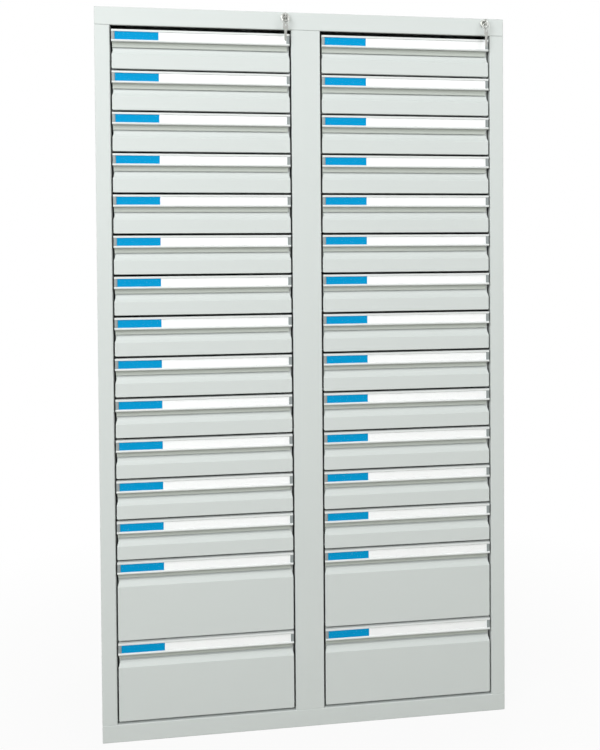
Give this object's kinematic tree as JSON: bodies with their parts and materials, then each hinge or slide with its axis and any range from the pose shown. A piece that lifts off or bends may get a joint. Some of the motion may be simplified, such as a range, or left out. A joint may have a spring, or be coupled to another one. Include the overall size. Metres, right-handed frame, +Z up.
{
  "type": "industrial drawer cabinet",
  "caption": "Tall free-standing steel cabinet with two bays of shallow sliding drawers over deep ones, each with a labelled pull strip, and a key lock for each bay.",
  "frame": {"origin": "centre of the underside", "axes": "+Z up, the drawer fronts face -Y, +X to the right seen from the front"},
  "size_m": [1.02, 0.6284, 1.8],
  "materials": {
    "enamel": "fine powder coat, satin",
    "drawer_enamel": "fine powder coat, satin",
    "galvanised": "zinc plated",
    "nickel": "bright nickel plate",
    "plug": "satin nickel plate"
  },
  "bodies": {
    "root": {"bottom_panel": "enamel", "top_panel": "enamel", "left_side_panel": "enamel", "right_side_panel": "enamel", "left_back_panel": "enamel", "right_back_panel": "enamel", "centre_partition": "enamel", "bottom_rail": "enamel", "top_rail": "enamel", "left_stile": "enamel", "centre_stile": "enamel", "right_stile": "enamel", "left_bay_left_rack": "galvanised", "left_bay_right_rack": "galvanised", "right_bay_left_rack": "galvanised", "right_bay_right_rack": "galvanised", "left_lock_body": "nickel", "right_lock_body": "nickel"},
    "left_drawer_01": {"left_drawer_01": "drawer_enamel"},
    "left_drawer_02": {"left_drawer_02": "drawer_enamel"},
    "left_drawer_03": {"left_drawer_03": "drawer_enamel"},
    "left_drawer_04": {"left_drawer_04": "drawer_enamel"},
    "left_drawer_05": {"left_drawer_05": "drawer_enamel"},
    "left_drawer_06": {"left_drawer_06": "drawer_enamel"},
    "left_drawer_07": {"left_drawer_07": "drawer_enamel"},
    "left_drawer_08": {"left_drawer_08": "drawer_enamel"},
    "left_drawer_09": {"left_drawer_09": "drawer_enamel"},
    "left_drawer_10": {"left_drawer_10": "drawer_enamel"},
    "left_drawer_11": {"left_drawer_11": "drawer_enamel"},
    "left_drawer_12": {"left_drawer_12": "drawer_enamel"},
    "left_drawer_13": {"left_drawer_13": "drawer_enamel"},
    "left_drawer_14": {"left_drawer_14": "drawer_enamel"},
    "left_drawer_15": {"left_drawer_15": "drawer_enamel"},
    "right_drawer_01": {"right_drawer_01": "drawer_enamel"},
    "right_drawer_02": {"right_drawer_02": "drawer_enamel"},
    "right_drawer_03": {"right_drawer_03": "drawer_enamel"},
    "right_drawer_04": {"right_drawer_04": "drawer_enamel"},
    "right_drawer_05": {"right_drawer_05": "drawer_enamel"},
    "right_drawer_06": {"right_drawer_06": "drawer_enamel"},
    "right_drawer_07": {"right_drawer_07": "drawer_enamel"},
    "right_drawer_08": {"right_drawer_08": "drawer_enamel"},
    "right_drawer_09": {"right_drawer_09": "drawer_enamel"},
    "right_drawer_10": {"right_drawer_10": "drawer_enamel"},
    "right_drawer_11": {"right_drawer_11": "drawer_enamel"},
    "right_drawer_12": {"right_drawer_12": "drawer_enamel"},
    "right_drawer_13": {"right_drawer_13": "drawer_enamel"},
    "right_drawer_14": {"right_drawer_14": "drawer_enamel"},
    "right_drawer_15": {"right_drawer_15": "drawer_enamel"},
    "left_plug": {"left_lock_plug": "plug", "left_key": "nickel", "left_lock_cam": "galvanised"},
    "left_key_ring": {"left_key_ring": "nickel"},
    "left_spare_key": {"left_spare_key": "nickel"},
    "left_lock_bar": {"left_lock_bar": "galvanised"},
    "right_plug": {"right_lock_plug": "plug", "right_key": "nickel", "right_lock_cam": "galvanised"},
    "right_key_ring": {"right_key_ring": "nickel"},
    "right_spare_key": {"right_spare_key": "nickel"},
    "right_lock_bar": {"right_lock_bar": "galvanised"}
  },
  "joints": [
    {"name": "left_drawer_01_slide", "type": "slide", "parent": "root", "child": "left_drawer_01", "axis": [0, -1, 0], "range_m": [0, 0.45]},
    {"name": "left_drawer_02_slide", "type": "slide", "parent": "root", "child": "left_drawer_02", "axis": [0, -1, 0], "range_m": [0, 0.45]},
    {"name": "left_drawer_03_slide", "type": "slide", "parent": "root", "child": "left_drawer_03", "axis": [0, -1, 0], "range_m": [0, 0.45]},
    {"name": "left_drawer_04_slide", "type": "slide", "parent": "root", "child": "left_drawer_04", "axis": [0, -1, 0], "range_m": [0, 0.45]},
    {"name": "left_drawer_05_slide", "type": "slide", "parent": "root", "child": "left_drawer_05", "axis": [0, -1, 0], "range_m": [0, 0.45]},
    {"name": "left_drawer_06_slide", "type": "slide", "parent": "root", "child": "left_drawer_06", "axis": [0, -1, 0], "range_m": [0, 0.45]},
    {"name": "left_drawer_07_slide", "type": "slide", "parent": "root", "child": "left_drawer_07", "axis": [0, -1, 0], "range_m": [0, 0.45]},
    {"name": "left_drawer_08_slide", "type": "slide", "parent": "root", "child": "left_drawer_08", "axis": [0, -1, 0], "range_m": [0, 0.45]},
    {"name": "left_drawer_09_slide", "type": "slide", "parent": "root", "child": "left_drawer_09", "axis": [0, -1, 0], "range_m": [0, 0.45]},
    {"name": "left_drawer_10_slide", "type": "slide", "parent": "root", "child": "left_drawer_10", "axis": [0, -1, 0], "range_m": [0, 0.45]},
    {"name": "left_drawer_11_slide", "type": "slide", "parent": "root", "child": "left_drawer_11", "axis": [0, -1, 0], "range_m": [0, 0.45]},
    {"name": "left_drawer_12_slide", "type": "slide", "parent": "root", "child": "left_drawer_12", "axis": [0, -1, 0], "range_m": [0, 0.45]},
    {"name": "left_drawer_13_slide", "type": "slide", "parent": "root", "child": "left_drawer_13", "axis": [0, -1, 0], "range_m": [0, 0.45]},
    {"name": "left_drawer_14_slide", "type": "slide", "parent": "root", "child": "left_drawer_14", "axis": [0, -1, 0], "range_m": [0, 0.45]},
    {"name": "left_drawer_15_slide", "type": "slide", "parent": "root", "child": "left_drawer_15", "axis": [0, -1, 0], "range_m": [0, 0.45]},
    {"name": "right_drawer_01_slide", "type": "slide", "parent": "root", "child": "right_drawer_01", "axis": [0, -1, 0], "range_m": [0, 0.45]},
    {"name": "right_drawer_02_slide", "type": "slide", "parent": "root", "child": "right_drawer_02", "axis": [0, -1, 0], "range_m": [0, 0.45]},
    {"name": "right_drawer_03_slide", "type": "slide", "parent": "root", "child": "right_drawer_03", "axis": [0, -1, 0], "range_m": [0, 0.45]},
    {"name": "right_drawer_04_slide", "type": "slide", "parent": "root", "child": "right_drawer_04", "axis": [0, -1, 0], "range_m": [0, 0.45]},
    {"name": "right_drawer_05_slide", "type": "slide", "parent": "root", "child": "right_drawer_05", "axis": [0, -1, 0], "range_m": [0, 0.45]},
    {"name": "right_drawer_06_slide", "type": "slide", "parent": "root", "child": "right_drawer_06", "axis": [0, -1, 0], "range_m": [0, 0.45]},
    {"name": "right_drawer_07_slide", "type": "slide", "parent": "root", "child": "right_drawer_07", "axis": [0, -1, 0], "range_m": [0, 0.45]},
    {"name": "right_drawer_08_slide", "type": "slide", "parent": "root", "child": "right_drawer_08", "axis": [0, -1, 0], "range_m": [0, 0.45]},
    {"name": "right_drawer_09_slide", "type": "slide", "parent": "root", "child": "right_drawer_09", "axis": [0, -1, 0], "range_m": [0, 0.45]},
    {"name": "right_drawer_10_slide", "type": "slide", "parent": "root", "child": "right_drawer_10", "axis": [0, -1, 0], "range_m": [0, 0.45]},
    {"name": "right_drawer_11_slide", "type": "slide", "parent": "root", "child": "right_drawer_11", "axis": [0, -1, 0], "range_m": [0, 0.45]},
    {"name": "right_drawer_12_slide", "type": "slide", "parent": "root", "child": "right_drawer_12", "axis": [0, -1, 0], "range_m": [0, 0.45]},
    {"name": "right_drawer_13_slide", "type": "slide", "parent": "root", "child": "right_drawer_13", "axis": [0, -1, 0], "range_m": [0, 0.45]},
    {"name": "right_drawer_14_slide", "type": "slide", "parent": "root", "child": "right_drawer_14", "axis": [0, -1, 0], "range_m": [0, 0.45]},
    {"name": "right_drawer_15_slide", "type": "slide", "parent": "root", "child": "right_drawer_15", "axis": [0, -1, 0], "range_m": [0, 0.45]},
    {"name": "left_lock_bar_lift", "type": "slide", "parent": "root", "child": "left_lock_bar", "axis": [0, 0, 1], "range_m": [0, 0.012]},
    {"name": "left_key_turn", "type": "hinge", "parent": "root", "child": "left_plug", "pos_m": [-0.0505, -0.3, 1.787], "axis": [0, -1, 0], "range_deg": [0, 90]},
    {"name": "left_ring_swing", "type": "hinge", "parent": "left_plug", "child": "left_key_ring", "pos_m": [-0.0505, -0.31994, 1.7841], "axis": [-1, 0, 0], "range_deg": [-4, 60]},
    {"name": "left_spare_key_swing", "type": "hinge", "parent": "left_key_ring", "child": "left_spare_key", "pos_m": [-0.0505, -0.31994, 1.7671], "axis": [-1, 0, 0], "range_deg": [-6, 60]},
    {"name": "right_lock_bar_lift", "type": "slide", "parent": "root", "child": "right_lock_bar", "axis": [0, 0, 1], "range_m": [0, 0.012]},
    {"name": "right_key_turn", "type": "hinge", "parent": "root", "child": "right_plug", "pos_m": [0.4595, -0.3, 1.787], "axis": [0, -1, 0], "range_deg": [0, 90]},
    {"name": "right_ring_swing", "type": "hinge", "parent": "right_plug", "child": "right_key_ring", "pos_m": [0.4595, -0.31994, 1.7841], "axis": [-1, 0, 0], "range_deg": [-4, 60]},
    {"name": "right_spare_key_swing", "type": "hinge", "parent": "right_key_ring", "child": "right_spare_key", "pos_m": [0.4595, -0.31994, 1.7671], "axis": [-1, 0, 0], "range_deg": [-6, 60]}
  ],
  "couplings": [
    {"joint": "left_key_turn", "follows": "left_lock_bar_lift", "rad_per_m": 130.8},
    {"joint": "right_key_turn", "follows": "right_lock_bar_lift", "rad_per_m": 130.8}
  ]
}
